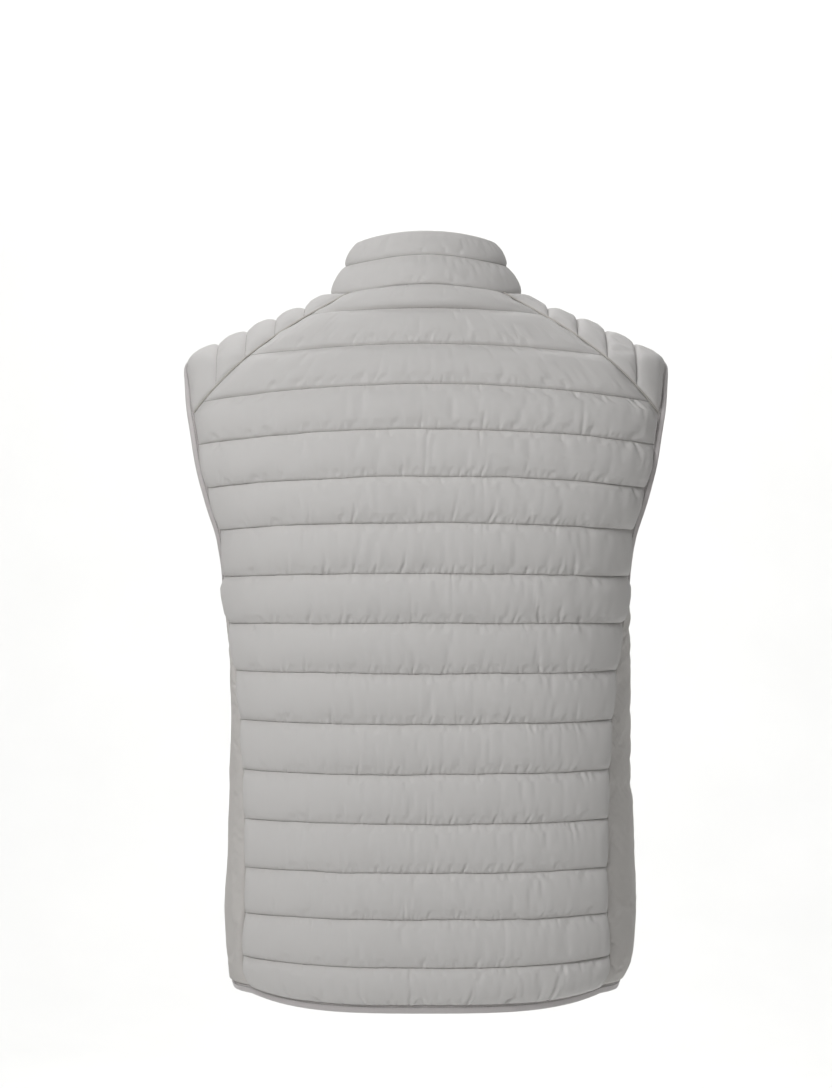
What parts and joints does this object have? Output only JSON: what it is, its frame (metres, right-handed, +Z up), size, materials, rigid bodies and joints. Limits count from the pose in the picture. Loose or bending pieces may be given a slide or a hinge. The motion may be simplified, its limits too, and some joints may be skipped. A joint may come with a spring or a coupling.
{
  "type": "quilted vest",
  "caption": "Padded sleeveless vest, worn and zipped up, with level quilted channels, quilted shoulders, a stand collar, plain side panels and bound armholes and hem.",
  "frame": {"origin": "between the wearer's shoulders, level with the side of the neck seam, where the vest hangs from the shoulders", "axes": "+Z up, +X to the wearer's left, -Y to the wearer's front"},
  "size_m": [0.4696, 0.2742, 0.7493],
  "materials": {
    "shell_cloth": "plain-woven nylon with a soft sheen, quilted",
    "side_cloth": "the same nylon over thin padding, not quilted",
    "binding": "matt stretch binding",
    "piping": "fine corded piping",
    "zip_tape": "woven tape",
    "zip_chain": "moulded coil chain",
    "zip_metal": "satin metal"
  },
  "bodies": {
    "vest": {"back": "shell_cloth", "front_left": "shell_cloth", "front_right": "shell_cloth", "side_left": "side_cloth", "side_right": "side_cloth", "shoulder_left": "shell_cloth", "shoulder_right": "shell_cloth", "collar": "shell_cloth", "piping_left": "piping", "piping_right": "piping", "armhole_binding_left": "binding", "armhole_binding_right": "binding", "hem_binding": "binding", "zip_tape_left": "zip_tape", "zip_tape_right": "zip_tape", "zip_chain": "zip_chain", "zip_box": "zip_chain", "zip_slider": "zip_metal"},
    "pull_tab": {"zip_pull": "zip_metal"}
  },
  "joints": [
    {"name": "pull_tab_swing", "type": "hinge", "parent": "vest", "child": "pull_tab", "pos_m": [0, -0.08576, -0.02318], "axis": [-1, 0, 0], "range_deg": [0, 160]}
  ]
}
